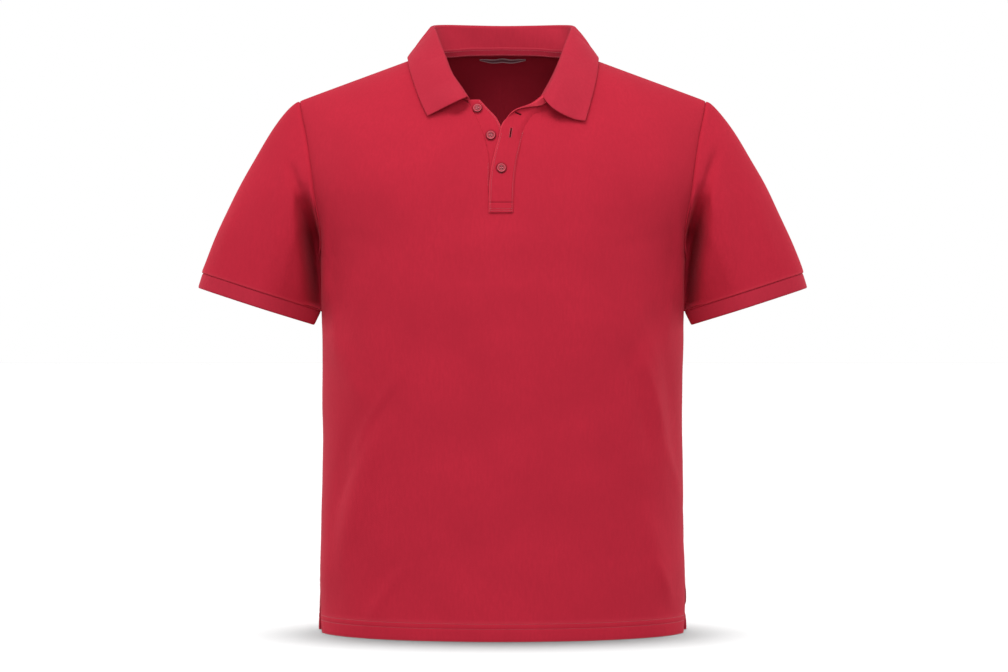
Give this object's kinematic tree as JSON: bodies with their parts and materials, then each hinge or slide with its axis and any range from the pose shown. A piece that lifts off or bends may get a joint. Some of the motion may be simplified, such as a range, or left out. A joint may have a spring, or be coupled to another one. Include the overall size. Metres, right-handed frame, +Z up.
{
  "type": "polo shirt",
  "caption": "Short-sleeved pique polo shirt, filled out and hollow, with a folded rib collar, buttoned placket, rib cuffs and side vents.",
  "frame": {"origin": "midway between the two points where the shoulder seams meet the collar, at that height", "axes": "+X towards the wearer's left, the front faces -Y, +Z up"},
  "size_m": [0.8028, 0.2916, 0.8062],
  "materials": {
    "pique": "matte pique knit",
    "rib": "matte flat-knitted rib",
    "tape": "matte woven tape",
    "label": "plain satin weave",
    "button": "satin"
  },
  "bodies": {
    "root": {"front": "pique", "back": "pique", "sleeve_right": "pique", "sleeve_left": "pique", "cuff_right": "rib", "cuff_left": "rib", "collar": "rib", "placket_under": "pique", "placket_upper": "pique", "neck_tape": "tape", "label": "label", "button_1": "button", "button_2": "button", "button_3": "button"}
  },
  "joints": []
}
